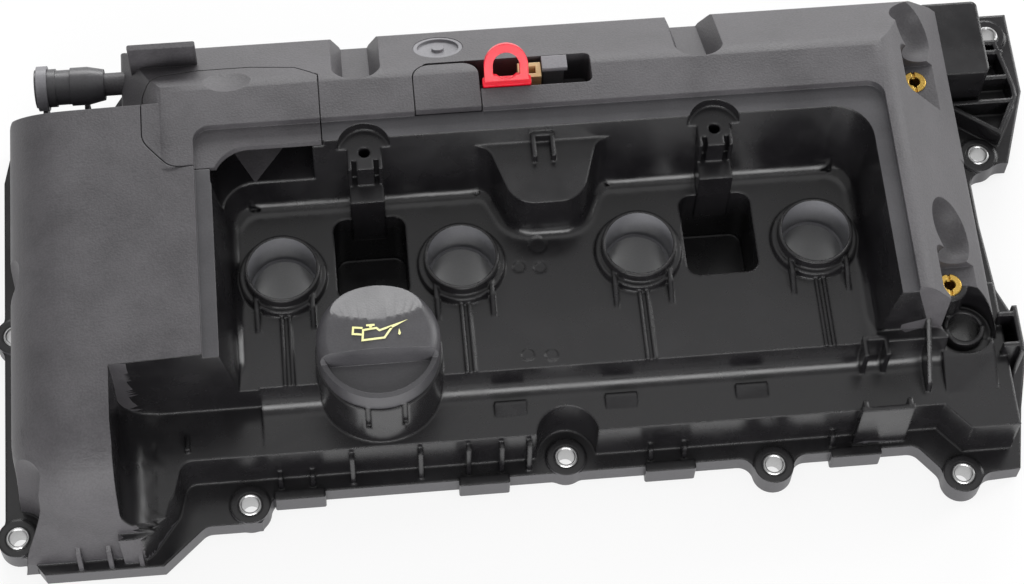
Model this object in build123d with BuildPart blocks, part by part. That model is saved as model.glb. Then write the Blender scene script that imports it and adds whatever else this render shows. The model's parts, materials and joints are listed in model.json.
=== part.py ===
"""Valve cover of an in-line four-cylinder petrol engine, in millimetres.

X runs along the crankshaft, Y to the back and Z up. The origin lies on the mating plane of the
cylinder head, midway between the second and third plug tubes, on the line of the tube axes.
"""

import os

from build123d import *

os.makedirs("parts", exist_ok=True)

# Walls and gaps
wall = 3.0
rib_t = 2.2
lid_t = 2.6
lid_gap = 0.5
slide_gap = 0.3
fit_gap = 0.1
through = 1.0

# Spark plug tubes
bore_pitch = 84.0
tube_bore_r = 16.0
tube_lower_r = 14.6
tube_wall = 3.6
tube_rim_r = 17.6
tube_collar_r = 21.0
tube_rim_z = 66.0
tube_collar_z = 60.0
tube_step_z = 45.0
seal_r = 16.4
seal_w = 2.0
seal_h = 4.0

# Plug deck and the well round it
deck_z = 56.0
deck_front_y = -56.0
deck_back_y = 38.0
deck_half_x = 149.0
well_top_z = 94.0
well_top_back_y = 51.0
well_top_half_x = 155.5
well_corner_r = 14.0
ledge_back_y = 61.0
ledge_half_x = 163.0
ledge_corner_r = 8.0
bulge_tip_half_x = 16.0
bulge_foot_half_x = 26.0
bulge_front_y = 15.0
bulge_top_z = 85.0
bulge_r = 9.0

# Front terrace
terrace_z = 37.0
terrace_front_y = -82.0
terrace_rise = 1.5
terrace_bend_r = 9.0

# Hood over the back, with its flat top and its back slope
hood_z = 98.0
hood_crown = 2.0
hood_flat_y = 84.0
hood_slope_y = 120.0
hood_slope_z = 74.0
hood_back_y = 127.0
hood_foot_y = 131.0
hood_bend_r = 22.0
hood_left_x = -198.0

# Left dome
dome_front_y = -113.0
dome_back_y = 86.0
dome_left_x = -251.0
dome_crease_x = -220.0
dome_crease_z = 93.0
dome_roll_r = 34.0

# Right shoulder
shoulder_crease_x = 168.0
shoulder_right_x = 207.0
shoulder_z = 50.0
shoulder_front_y = -50.0
shoulder_foot_x = 213.0

# Notch in the front of the dome
notch_top_x = -205.0
notch_foot_x = -190.0
notch_back_y = -57.0

# Flange, screw bosses and gasket
flange_t = 10.5
flange_lip = 8.0
boss_r = 9.5
boss_h = 12.0
sleeve_r = 5.5
sleeve_bore_r = 4.0
gasket_w = 4.0
gasket_h = 5.0
gasket_in = 2.0

front_bosses = [(-257.0, -103.0), (-149.0, -95.0), (1.0, -83.0), (99.0, -95.0), (188.0, -107.0)]
right_bosses = [(225.0, 65.0), (242.0, 135.0)]
back_bosses = [(-150.0, 141.0), (-50.0, 141.0), (50.0, 141.0), (150.0, 141.0)]
left_bosses = [(-258.0, 2.0), (-250.0, 102.0)]
bosses = front_bosses + right_bosses + back_bosses + left_bosses
scallops = [(-257.0, -103.0, 14.0), (1.0, -83.0, 14.5), (-258.0, 2.0, 12.0), (188.0, -107.0, 11.5)]

# Deck pockets and coil screw towers
pocket_x = [-84.0, 81.5]
pocket_w = 34.0
pocket_front_y = -14.0
pocket_back_y = 29.0
pocket_floor_z = 14.0
pocket_r = 6.0
tower_z = 88.0
tower_w = 16.0
tower_shoulder_z = 73.0
tower_front_y = 37.5
tower_screw_y = 46.5
tower_screw_r = 2.7
tower_screw_depth = 20.0
arch_r = 12.5

# Oil filler neck and cap
filler_x = -84.0
filler_y = -50.5
neck_r = 29.2
neck_bore_r = 25.5
neck_z = 72.0
neck_slots = [(-7.0, -27.6), (10.0, -26.8)]
neck_slot_w = 2.4
neck_slot_z = 52.0
cap_r = 28.2
cap_rim_r = 25.0
cap_rim_z = 84.0
cap_shoulder_z = 86.0
cap_top_z = 92.5
cap_back_z = 85.0
cap_scoop_z = 81.0
cap_wall_t = 3.5
cap_plug_r = neck_bore_r - 2.1
cap_plug_z = 56.0
cap_seal_z = 63.0
cap_seal_wire_r = 1.75
grip_back = 7.7
grip_front = -6.3
grip_foot = -9.7

# Lids and window in the hood
hatch_left_x = -187.0
hatch_right_x = -103.0
hatch_front_y = 40.0
hatch_back_y = 97.0
hatch_bay_z = 72.0
small_hatch_left_x = -59.0
small_hatch_right_x = -27.0
small_hatch_back_y = 88.0
window_left_x = -27.6
window_right_x = 26.0
window_front_y = 71.0
window_back_y = 89.0
window_bay_z = 72.0

# Finger recess of the large lid
finger_x = -146.0
finger_y = 92.0
finger_r = 32.0
finger_depth = 3.0

# Red clip
clip_x = -14.5
clip_y = 75.0
clip_z = 96.0
clip_w = 21.0
clip_h = 19.0
clip_band = 4.2
clip_t = 3.0
clip_tongue_t = 2.4

# Vent cap, threaded inserts and sensor hole
vent_x = -45.0
vent_y = 104.0
vent_r = 12.0
inserts = [(186.0, -31.0, 60.0), (187.0, 80.0, 62.0)]
insert_r = 5.7
insert_bore_r = 2.5
insert_h = 12.0
insert_boss_r = 8.5
sensor_x = 193.0
sensor_y = -46.0
sensor_z = 44.0
sensor_r = 9.6
sensor_bore_r = 7.5
sensor_room_r = 14.0

# Right rear corner: raised plate, low outer wall with ribs, and the room under the plate
corner_plate_x = 215.5
corner_plate_y = 115.0
corner_plate_w = 30.0
corner_plate_d = 42.0
corner_plate_z = 44.0
corner_wall = [(205, 93), (236, 70), (248, 92), (248, 98), (243, 126), (205, 126)]
corner_wall_z = 22.0
corner_rib_y = [104.0, 119.0]
corner_room_x = 223.5
corner_room_y = 113.0
corner_room_w = 8.0
corner_room_d = 28.0

# Breather hose port and coupling
port_y = 106.0
port_z = 68.0
port_r = 5.5
port_bore_r = 4.0
port_left_x = -226.0
coupling_r = 9.2
coupling_left_x = -239.0
coupling_right_x = -206.0
coupling_cone_x = -214.0
coupling_mouth_r = 7.4
lock_ring_r = 10.8
lock_ring_w = 5.0
port_seal_x = -219.0
port_seal_r = 6.4
port_seal_wire_r = 0.85

# Oil separator baffle and pressure valve under the hood
baffle_z = 43.0
baffle_t = 2.5
baffle_front_y = 36.0
baffle_back_y = 121.0
baffle_left_x = -114.0
baffle_right_x = 152.0
baffle_posts = [(x, y) for x in (-102.0, 45.0, 142.0) for y in (67.0, 111.0)]
baffle_post_r = 4.5
baffle_screw_r = 2.0
baffle_screw_h = 12.0
valve_x = -45.0
valve_y = 96.0
valve_r = 15.0
valve_wall = 2.0
valve_h = 22.0
diaphragm_z = 58.0
diaphragm_t = 2.0
plunger_r = 3.5
spring_r = 7.0
spring_wire_r = 0.6
spring_turns = 4

# Clip socket on the bulge, pad in front of the sensor tube and ejector pin marks
socket_y = 43.0
socket_w = 11.0
socket_d = 13.0
socket_wall = 2.0
socket_h = 6.0
pad_x = 193.0
pad_w = 25.0
pad_front_y = -77.0
pad_z = 45.0
marks = [(-15.0, -3.0, 3.0), (-5.0, -4.0, 3.0), (-5.0, 8.0, 4.5), (-15.0, -49.0, 3.0), (-4.0, -50.0, 3.0)]
mark_depth = 0.4

# Small ribs, lips, tabs and plates
short_rib_x = [-134.0, -119.0, 41.0, 57.0, 128.0, 144.0]
tall_rib_x = [-100.0, -68.0, -45.5, -30.0, -17.0]
dome_rib_x = [-228.0, -214.0, -200.0]
lip_x = [-125.5, -38.5, 50.0, 139.0]
lip_w = 24.0
terrace_tab_x = [-24.5, 27.5, 89.0]
tab_plate_t = 2.4

tube_x = [(i - 1.5) * bore_pitch for i in range(4)]
sky_z = hood_z + 40


def footprint(inset=0.0):
    """Plan of the housing where it meets the flange, drawn in by inset."""
    with BuildSketch() as plan:
        with BuildLine():
            Polyline(
                (-258, -119), (-197, -119), (-182, -98), (-178, terrace_front_y),
                (179, terrace_front_y), (190, -95), (216, -95), (216, 133),
                (-200, 133), (-210, 92), (-258, 92), close=True,
            )
        make_face()
        fillet(plan.vertices().sort_by_distance((-197, -119, 0))[0], 12)
        fillet(plan.vertices().sort_by_distance((-182, -98, 0))[0], 8)
        fillet(plan.vertices().sort_by_distance((-178, terrace_front_y, 0))[0], 6)
        for x, y, r in scallops:
            with Locations((x, y)):
                Circle(r, mode=Mode.SUBTRACT)
        if inset:
            offset(amount=-inset)
    return plan.sketch


def along_x(points, radii, inset, x_low, x_high):
    """Prism along X of a Y-Z section. radii gives (point number, bend radius) pairs."""
    with BuildPart() as mass:
        with BuildSketch(Plane.YZ.offset(x_low + inset)) as section:
            with BuildLine():
                Polyline(*points, close=True)
            make_face()
            for number, radius in radii:
                spot = (points[number][0], points[number][1], 0)
                fillet(section.vertices().sort_by_distance(spot)[0], radius)
            if inset:
                offset(amount=-inset)
        extrude(amount=x_high - x_low - 2 * inset)
    return mass.part


def along_y(points, radii, inset, y_low, y_high):
    """Prism along Y of an X-Z section."""
    with BuildPart() as mass:
        with BuildSketch(Plane.XZ.offset(-y_high + inset)) as section:
            with BuildLine():
                Polyline(*points, close=True)
            make_face()
            for number, radius in radii:
                spot = (points[number][0], points[number][1], 0)
                fillet(section.vertices().sort_by_distance(spot)[0], radius)
            if inset:
                offset(amount=-inset)
        extrude(amount=y_high - y_low - 2 * inset)
    return mass.part


def dome(inset, base):
    """Left dome: its side section trimmed by its front section."""
    side = along_y(
        [
            (-140, base), (-140, hood_z), (-ledge_half_x, hood_z), (dome_crease_x, dome_crease_z),
            (dome_left_x, dome_crease_z - 5), (dome_left_x - 5, base),
        ],
        [(3, 40.0), (4, dome_roll_r)], inset, -130, 95,
    )
    front = along_x(
        [
            (dome_back_y + 3, base - 5), (dome_back_y, 72), (dome_back_y - 12, hood_z + 3),
            (dome_front_y, hood_z + 3), (dome_front_y - 4, base - 5),
        ],
        [(1, 6.0), (3, 46.0)], inset, -270, -130,
    )
    with BuildPart() as mass:
        add(side)
        add(front, mode=Mode.INTERSECT)
    return mass.part


def hood(inset, base):
    """Hood over the back: flat top and back slope, with both ends sloping down."""
    top = along_x(
        [
            (40, base), (40, hood_z + hood_crown), (hood_flat_y, hood_z), (hood_slope_y, hood_slope_z),
            (hood_back_y, 55), (hood_foot_y, base),
        ],
        [(2, hood_bend_r), (3, 10.0)], inset, hood_left_x - 10, shoulder_foot_x + 10,
    )
    ends = along_y(
        [
            (hood_left_x - 3, base - 5), (hood_left_x, 70), (-180, hood_z), (shoulder_crease_x, hood_z),
            (shoulder_right_x, shoulder_z), (shoulder_foot_x, base - 5),
        ],
        [(1, 9.0), (2, 14.0), (3, 16.0)], inset, 20, 150,
    )
    with BuildPart() as mass:
        add(top)
        add(ends, mode=Mode.INTERSECT)
    return mass.part


def front_corners(inset, low):
    """Low blocks that carry the notch's floor and the sensor hole."""
    with BuildPart() as mass:
        with BuildSketch(Plane.XY.offset(low)):
            with Locations(((notch_top_x - 3 - 150) / 2, -80), (184, -65)):
                Rectangle(-(notch_top_x - 3) - 150 - 2 * inset, 90 - 2 * inset)
        extrude(amount=terrace_z + 1 - inset - low)
    return mass.part


def housing(inset=0.0, low=0.0):
    """The housing's masses fused and trimmed to the footprint. inset gives the inner skin."""
    base = low - inset
    deck = along_x(
        [
            (70, base), (-100, base), (-100, terrace_z), (-70, terrace_z + terrace_rise),
            (-58, terrace_z + terrace_rise + 1.0), (deck_front_y, deck_z), (70, deck_z),
        ],
        [(4, terrace_bend_r)], inset, -196, 182,
    )
    shoulder = along_y(
        [
            (140, base), (140, hood_z), (shoulder_crease_x, hood_z),
            (shoulder_right_x, shoulder_z), (shoulder_foot_x, base),
        ],
        [(2, 14.0), (3, 16.0)], inset, shoulder_front_y, 70,
    )
    with BuildPart() as shell:
        add(hood(inset, base))
        with BuildSketch(Plane.XY.offset(low)):
            with Locations((0, 30)):
                Rectangle(60 - 2 * inset, 34 - 2 * inset)
        extrude(amount=bulge_top_z - inset - low)
        add(shoulder)
        add(dome(inset, base))
        add(deck)
        add(front_corners(inset, low))
        with BuildSketch(Plane.XY.offset(low)):
            add(footprint(inset))
        extrude(amount=sky_z - low, mode=Mode.INTERSECT)
    return shell.part


def well_outline(half_x, back_y, with_bulge, corner_r, grow):
    """Plan of the well at one height. It runs out over the front."""
    with BuildSketch() as plan:
        with BuildLine():
            if with_bulge:
                Polyline(
                    (-half_x, -170), (-half_x, back_y), (-bulge_foot_half_x, back_y),
                    (-bulge_tip_half_x, bulge_front_y), (bulge_tip_half_x, bulge_front_y),
                    (bulge_foot_half_x, back_y), (half_x, back_y), (half_x, -170), close=True,
                )
            else:
                Polyline(
                    (-half_x, -170), (-half_x, back_y), (half_x, back_y), (half_x, -170),
                    close=True,
                )
        make_face()
        corners = plan.vertices().filter_by_position(Axis.Y, back_y - 0.1, back_y + 0.1)
        fillet(corners.sort_by(Axis.X)[0], corner_r)
        corners = plan.vertices().filter_by_position(Axis.Y, back_y - 0.1, back_y + 0.1)
        fillet(corners.sort_by(Axis.X)[-1], corner_r)
        if with_bulge:
            for side in (-1, 1):
                spot = (side * bulge_foot_half_x, back_y, 0)
                fillet(plan.vertices().sort_by_distance(spot)[0], bulge_r)
                spot = (side * bulge_tip_half_x, bulge_front_y, 0)
                fillet(plan.vertices().sort_by_distance(spot)[0], bulge_tip_half_x - 2)
        if grow:
            offset(amount=grow)
    return plan.sketch


def well(grow=0.0):
    """Space of the well: sloping walls from the deck up to the ledge, then the matte rim."""
    share = (bulge_top_z - deck_z) / (well_top_z - deck_z)
    mid_x = deck_half_x + (well_top_half_x - deck_half_x) * share
    mid_y = deck_back_y + (well_top_back_y - deck_back_y) * share
    mid_r = well_corner_r + 4 * share
    with BuildPart() as space:
        with BuildSketch(Plane.XY.offset(deck_z - grow)):
            add(well_outline(deck_half_x, deck_back_y, True, well_corner_r, grow))
        with BuildSketch(Plane.XY.offset(bulge_top_z - grow)):
            add(well_outline(mid_x, mid_y, True, mid_r, grow))
        loft(ruled=True)
        with BuildSketch(Plane.XY.offset(bulge_top_z - grow)):
            add(well_outline(mid_x, mid_y, False, mid_r, grow))
        with BuildSketch(Plane.XY.offset(well_top_z)):
            add(well_outline(well_top_half_x, well_top_back_y, False, well_corner_r + 4, grow))
        loft(ruled=True)
        with BuildSketch(Plane.XY.offset(well_top_z - grow)):
            add(well_outline(ledge_half_x, ledge_back_y, False, ledge_corner_r, grow))
        extrude(amount=sky_z - well_top_z)
    return space.part


def notch(grow=0.0):
    """Space cut out of the dome's front right side, with a hollow curved left wall."""
    with BuildPart() as space:
        with BuildSketch(Plane.XZ.offset(-notch_back_y - grow)) as section:
            with BuildLine():
                top = (notch_top_x, sky_z)
                foot = (notch_foot_x, terrace_z + 1)
                Line(top, (notch_top_x, dome_crease_z))
                ThreePointArc((notch_top_x, dome_crease_z), (notch_top_x + 3.5, 62), foot)
                Polyline(foot, (-140, terrace_z + 1), (-140, sky_z), top)
            make_face()
            if grow:
                offset(amount=grow)
        extrude(amount=90)
    return space.part


def back_grooves(grow=0.0):
    """Two saddle grooves that run down the back slope of the hood."""
    slope = Plane(origin=(0, 80, 84), x_dir=(1, 0, 0), z_dir=(0, 0.56, 0.83))
    with BuildPart() as space:
        with BuildSketch(slope.offset(-grow)):
            with Locations((-85, 33), (79, 33)):
                RectangleRounded(13 + 2 * grow, 70 + 2 * grow, 5 + grow)
        extrude(amount=40, taper=-20)
    return space.part


def pockets(grow=0.0):
    """Deep recesses in the deck, in front of the coil screw towers."""
    depth_y = pocket_back_y - pocket_front_y
    middle_y = (pocket_back_y + pocket_front_y) / 2
    with BuildPart() as space:
        with BuildSketch(Plane.XY.offset(pocket_floor_z - grow)):
            with Locations(*[(x, middle_y) for x in pocket_x]):
                RectangleRounded(pocket_w + 2 * grow, depth_y + 2 * grow, pocket_r + grow)
        extrude(amount=deck_z + through - pocket_floor_z + grow)
    return space.part


def hatch_outline(gap=0.0):
    """Plan of the large lid over the rear left corner of the well."""
    with BuildSketch() as plan:
        with BuildLine():
            Polyline(
                (hatch_left_x, 86), (hatch_left_x, 56), (-174, hatch_front_y),
                (-150, hatch_front_y), (hatch_right_x, hatch_front_y), (hatch_right_x, 86),
                (-114, 94), (-135, hatch_back_y), (-160, hatch_back_y), (-178, 94), close=True,
            )
        make_face()
        for spot, radius in (((hatch_left_x, 56, 0), 12), ((hatch_left_x, 86, 0), 9), ((-174, 40, 0), 8)):
            fillet(plan.vertices().sort_by_distance(spot)[0], radius)
        if gap:
            offset(amount=-gap)
    return plan.sketch


def small_hatch_outline(gap=0.0):
    """Plan of the small lid beside the window."""
    width = small_hatch_right_x - small_hatch_left_x
    with BuildSketch() as plan:
        with Locations((small_hatch_left_x + width / 2, (small_hatch_back_y + ledge_back_y) / 2)):
            Rectangle(width, small_hatch_back_y - ledge_back_y)
        fillet(plan.vertices().group_by(Axis.Y)[-1], 9)
        if gap:
            offset(amount=-gap)
    return plan.sketch


def lid_zone(gap=0.0):
    """Prisms over both lids' plans."""
    with BuildPart() as zone:
        with BuildSketch(Plane.XY.offset(60)):
            add(hatch_outline(gap))
            add(small_hatch_outline(gap))
        extrude(amount=sky_z - 60)
    return zone.part


def bays(grow=0.0):
    """Spaces under the lids and the window."""
    with BuildPart() as space:
        with BuildSketch(Plane.XY.offset(hatch_bay_z - grow)):
            with Locations(((-156 - 108) / 2, (30 + 84) / 2)):
                RectangleRounded(48 + 2 * grow, 54 + 2 * grow, 4 + grow)
        extrude(amount=sky_z - hatch_bay_z)
        with BuildSketch(Plane.XY.offset(window_bay_z - grow)):
            with Locations(((-54 + window_right_x) / 2, (window_front_y + window_back_y) / 2)):
                RectangleRounded(window_right_x + 54 + 2 * grow, 18 + 2 * grow, 3 + grow)
        extrude(amount=sky_z - window_bay_z)
    return space.part


def slope_height(y):
    """Height of the hood's back slope at y."""
    return hood_z - (y - hood_flat_y) * (hood_z - hood_slope_z) / (hood_slope_y - hood_flat_y)


slope_normal = (0, hood_z - hood_slope_z, hood_slope_y - hood_flat_y)
vent_plane = Plane(origin=(vent_x, vent_y, slope_height(vent_y)), x_dir=(1, 0, 0), z_dir=slope_normal)


def insert_scoops(grow=0.0):
    """Steps in the shoulder round the threaded inserts, each with a dished back."""
    with BuildPart() as space:
        for x, y, z in inserts:
            with BuildSketch(Plane.XY.offset(z - grow)):
                with Locations((x + 10, y - 4)):
                    RectangleRounded(40 + 2 * grow, 26 + 2 * grow, 4 + grow)
            extrude(amount=50)
            with Locations((x + 4, y + 22, z + 15)):
                Sphere(17 + grow)
    return space.part


def lid_core(depth):
    """What lies deeper than depth below the outer surface, and the well's walls."""
    with BuildPart() as core:
        add(housing(depth, flange_t))
        add(well(depth), mode=Mode.SUBTRACT)
        with BuildSketch(Plane.XY.offset(flange_t)):
            with Locations((hatch_left_x - 20, -60)):
                Rectangle(260, ledge_back_y + depth + 60, align=(Align.MIN, Align.MIN))
        extrude(amount=well_top_z - depth - flange_t)
    return core.part


def lid_skin(depth):
    """What lies within depth of the outer surface, under both lids."""
    with BuildPart() as skin:
        add(lid_zone(0.0))
        add(lid_core(depth), mode=Mode.SUBTRACT)
    return skin.part


def arches(grow=0.0):
    """Crescent recesses in the ledge behind the coil screw towers."""
    with BuildPart() as space:
        with BuildSketch(Plane.XY.offset(tower_z - grow)):
            for x in pocket_x:
                with Locations((x, tower_screw_y)):
                    Circle(arch_r + grow)
        extrude(amount=sky_z - tower_z)
    return space.part


def sensor_room(grow=0.0):
    """Round room above the sensor tube, for the sensor's head."""
    with BuildPart() as space:
        with BuildSketch(Plane.XY.offset(terrace_z + terrace_rise - grow)):
            with Locations((sensor_x, sensor_y)):
                Circle(sensor_room_r + grow)
        extrude(amount=sky_z - terrace_z)
    return space.part


def hollows(grow=0.0):
    """Everything that is cut into the housing from outside, grown by a wall for its skin."""
    with BuildPart() as space:
        add(well(grow))
        add(notch(grow))
        add(back_grooves(grow))
        add(pockets(grow))
        add(bays(grow))
        add(insert_scoops(grow))
        add(arches(grow))
        add(sensor_room(grow))
    return space.part


def posts():
    """What stands inside the housing and stays solid: tubes and bosses."""
    with BuildPart() as solid:
        with BuildSketch(Plane.XY.offset(-2 * through)):
            with Locations(*[(x, 0) for x in tube_x]):
                Circle(tube_lower_r + tube_wall)
            with Locations((sensor_x, sensor_y)):
                Circle(sensor_r)
        extrude(amount=deck_z + 2 * through)
        for x, y, z in inserts:
            with BuildSketch(Plane.XY.offset(z - insert_h - 6)):
                with Locations((x, y)):
                    Circle(insert_boss_r)
            extrude(amount=30)
        with BuildSketch(vent_plane.offset(-10)):
            Circle(vent_r + wall)
        extrude(amount=12)
        with BuildSketch(Plane.XY.offset(baffle_z)):
            with Locations(*baffle_posts):
                Circle(baffle_post_r)
        extrude(amount=hood_z - baffle_z)
        with BuildSketch(Plane.YZ.offset(hood_left_x - 6)):
            with Locations((port_y, port_z)):
                Circle(port_r + wall)
        extrude(amount=14)
    return solid.part


def flange():
    """Flange plate with its screw bosses."""
    with BuildPart() as plate:
        with BuildSketch():
            with BuildLine():
                Polyline(
                    (-263, 88), (-263, -96), (-245, -122), (-190, -122), (-170, -104), (-144, -104),
                    (-137, -90.5), (88, -90.5), (110, -90.5), (168, -90.5), (182, -108),
                    (216, -106), (222, -75), (229, -48), (229, -31), (221, -11), (219, 26),
                    (219, 60), (240, 60), (254, 101), (254, 148), (180, 148), (168, 140),
                    (-200, 140), (-214, 118), (-258, 112), close=True,
                )
            make_face()
            with Locations(*bosses):
                Circle(boss_r)
            offset(amount=7)
            offset(amount=-7)
        extrude(amount=flange_t)
        with BuildSketch():
            with Locations(*bosses):
                Circle(boss_r)
        extrude(amount=boss_h)
    return plate.part


def tube_tops():
    """Collars, rims, ears and deck ribs of the plug tubes."""
    with BuildPart() as tops:
        with BuildSketch(Plane.XY.offset(deck_z - through)):
            with Locations(*[(x, 0) for x in tube_x]):
                Circle(tube_collar_r)
        extrude(amount=tube_collar_z - deck_z + through, taper=8)
        with BuildSketch(Plane.XY.offset(deck_z - through)):
            with Locations(*[(x, 0) for x in tube_x]):
                Circle(tube_rim_r)
        extrude(amount=tube_rim_z - deck_z + through)
        for x in tube_x:
            with BuildSketch(Plane.XY.offset(deck_z - wall)):
                with Locations((x - 1.8, -38), (x + 1.8, -38)):
                    Rectangle(1.6, 37)
            extrude(amount=wall + 1.6)
            for side in (-1, 1):
                with BuildSketch(Plane.YZ.offset(x + side * 13 - rib_t / 2)):
                    with BuildLine():
                        Polyline(
                            (-10, deck_z - 1), (-30, deck_z - 1), (-19, tube_rim_z - 4),
                            (-10, tube_rim_z - 4), close=True,
                        )
                    make_face()
                extrude(amount=rib_t)
    return tops.part


def coil_towers():
    """Screw towers in the back of the pockets, each with two side slots."""
    with BuildPart() as towers:
        for x in pocket_x:
            with BuildSketch(Plane.YZ.offset(x - tower_w / 2)):
                with BuildLine():
                    Polyline(
                        (pocket_back_y - 1, deck_z - 20), (pocket_back_y - 1, tower_shoulder_z),
                        (tower_front_y, tower_shoulder_z), (tower_front_y, tower_z),
                        (well_top_back_y + 2, tower_z), (well_top_back_y + 2, 80),
                        (deck_back_y, deck_z - wall), (pocket_back_y + 2, deck_z - wall),
                        (pocket_back_y + 2, deck_z - 20), close=True,
                    )
                make_face()
            extrude(amount=tower_w)
            with BuildSketch(Plane.XY.offset(tower_shoulder_z)):
                with Locations((x - 5.2, tower_front_y), (x + 5.2, tower_front_y)):
                    Rectangle(2.4, 10)
            extrude(amount=tower_z, mode=Mode.SUBTRACT)
    return towers.part


def neck_and_ports():
    """Oil filler neck, sensor tube and breather port."""
    with BuildPart() as necks:
        with BuildSketch(Plane.XY.offset(terrace_z - wall)):
            with Locations((filler_x, filler_y)):
                Circle(neck_r)
        extrude(amount=neck_z - terrace_z + wall)
        with BuildSketch(Plane.XY.offset(neck_slot_z)):
            with Locations(*[(filler_x + x, filler_y + y) for x, y in neck_slots]):
                Rectangle(neck_slot_w, neck_slot_w)
        extrude(amount=neck_z - neck_slot_z, mode=Mode.SUBTRACT)
        for x, y, z in inserts:
            with BuildSketch(Plane.XY.offset(terrace_z)):
                with Locations((x, y)):
                    Circle(insert_boss_r)
            extrude(amount=z - terrace_z)
        with BuildSketch(Plane.XY.offset(terrace_z - wall)):
            with Locations((sensor_x, sensor_y)):
                Circle(sensor_r)
        extrude(amount=sensor_z - terrace_z + wall)
        with BuildSketch(Plane.YZ.offset(port_left_x)):
            with Locations((port_y, port_z)):
                Circle(port_r)
        extrude(amount=hood_left_x - port_left_x + 2)
    return necks.part


def edge_details():
    """Ribs on the front wall, lips on the flange's edge, tabs on the terrace and tab plates."""
    with BuildPart() as trim:
        for x in short_rib_x + tall_rib_x:
            top = 19 if x in short_rib_x else terrace_z - 3
            with BuildSketch(Plane.YZ.offset(x - rib_t / 2)):
                with BuildLine():
                    Polyline(
                        (terrace_front_y + 1, flange_t - 1), (terrace_front_y - 6, flange_t - 1),
                        (terrace_front_y - 4, top), (terrace_front_y + 1, top), close=True,
                    )
                make_face()
            extrude(amount=rib_t)
        for x in dome_rib_x:
            with BuildSketch(Plane.YZ.offset(x - rib_t / 2)):
                with BuildLine():
                    Polyline(
                        (dome_front_y + 1, flange_t - 1), (dome_front_y - 8, flange_t - 1),
                        (dome_front_y - 5, 24), (dome_front_y + 1, 30), close=True,
                    )
                make_face()
            extrude(amount=rib_t)
        for x in lip_x:
            with BuildSketch():
                with Locations((x, -91.5)):
                    RectangleRounded(lip_w, 5, 1)
            extrude(amount=boss_h)
        for x in terrace_tab_x:
            with BuildSketch(Plane.YZ.offset(x - 7.5)):
                with BuildLine():
                    Polyline(
                        (-76, terrace_z - 1), (-65, terrace_z), (-65, terrace_z + 4.5),
                        (-67, terrace_z + 4.5), close=True,
                    )
                make_face()
            extrude(amount=15)
        with BuildSketch(Plane.XY.offset(flange_t - 1)):
            with Locations((150.5, terrace_front_y - 4)):
                Rectangle(25, tab_plate_t)
            with Locations((140, terrace_front_y - 2), (161, terrace_front_y - 2)):
                Rectangle(rib_t, 5)
            with Locations((218, -50)):
                Rectangle(tab_plate_t, 24)
            with Locations((214, -58), (214, -42)):
                Rectangle(9, rib_t)
        extrude(amount=38)
        # Catch for the wiring duct at the right end of the deck's edge
        with BuildSketch(Plane.XY.offset(terrace_z)):
            with Locations((142, -59), (152, -59)):
                Rectangle(rib_t, 10)
            with Locations((147, -55)):
                Rectangle(12, rib_t)
        extrude(amount=deck_z + 3 - terrace_z)
        with BuildSketch(Plane.YZ.offset(171)):
            with BuildLine():
                Polyline(
                    (shoulder_front_y + 1, terrace_z - 1), (-76, terrace_z - 1), (-74, terrace_z + 8),
                    (shoulder_front_y + 1, 66), close=True,
                )
            make_face()
        extrude(amount=rib_t)
        # Pad that slopes down in front of the sensor tube
        with BuildSketch(Plane.YZ.offset(pad_x - pad_w / 2)):
            with BuildLine():
                Polyline(
                    (sensor_y, terrace_z - 1), (pad_front_y, terrace_z - 1), (pad_front_y, terrace_z + 1),
                    (sensor_y - sensor_room_r - 1, pad_z), (sensor_y, pad_z), close=True,
                )
            make_face()
        extrude(amount=pad_w)
        with BuildSketch(Plane.XY.offset(terrace_z)):
            with Locations((sensor_x, sensor_y)):
                Circle(sensor_room_r)
                Circle(sensor_r, mode=Mode.SUBTRACT)
        extrude(amount=pad_z, mode=Mode.SUBTRACT)
        # Clip socket on the bulge
        with BuildSketch(Plane.XY.offset(bulge_top_z - 1)):
            with Locations((0, socket_y)):
                Rectangle(socket_w, socket_d)
            with Locations((0, socket_y - socket_wall)):
                Rectangle(socket_w - 2 * socket_wall, socket_d, mode=Mode.SUBTRACT)
        extrude(amount=socket_h + 1)
        # Locating pin with its gusset on the left of the terrace
        with BuildSketch(Plane.YZ.offset(-176)):
            with BuildLine():
                Polyline((-64, terrace_z - 1), (-78, terrace_z - 1), (-78, terrace_z + 5), close=True)
            make_face()
        extrude(amount=rib_t)
        # Plate behind the large lid and saddle under the hose coupling
        with BuildSketch(Plane.XY.offset(60)):
            with Locations((-176, 104)):
                RectangleRounded(32, 3, 1)
        extrude(amount=42)
        with BuildSketch(Plane.XY.offset(flange_t - 1)):
            with Locations((-226, 96)):
                Rectangle(26, rib_t)
            with Locations((-236, 100), (-216, 100)):
                Rectangle(rib_t, 10)
        extrude(amount=port_z - lock_ring_r - slide_gap - flange_t + 1)
    return trim.part


def right_end_box():
    """Right rear corner: raised plate over a hollow block, a low outer wall and its ribs."""
    with BuildPart() as box:
        with BuildSketch(Plane.XY.offset(flange_t - 1)):
            with BuildLine():
                Polyline(*corner_wall, close=True)
            make_face()
            offset(amount=-tab_plate_t, mode=Mode.SUBTRACT)
            with Locations(*[(corner_plate_x + corner_plate_w / 2 + 7, y) for y in corner_rib_y]):
                Rectangle(16, rib_t)
            with Locations((corner_plate_x + 10, corner_wall[0][1] - 3)):
                Rectangle(38, rib_t)
        extrude(amount=corner_wall_z - flange_t + 1)
        with BuildSketch(Plane.XY.offset(flange_t - 1)):
            with Locations((corner_plate_x, corner_plate_y)):
                RectangleRounded(corner_plate_w, corner_plate_d, wall)
        extrude(amount=corner_plate_z - flange_t + 1)
    return box.part


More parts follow.
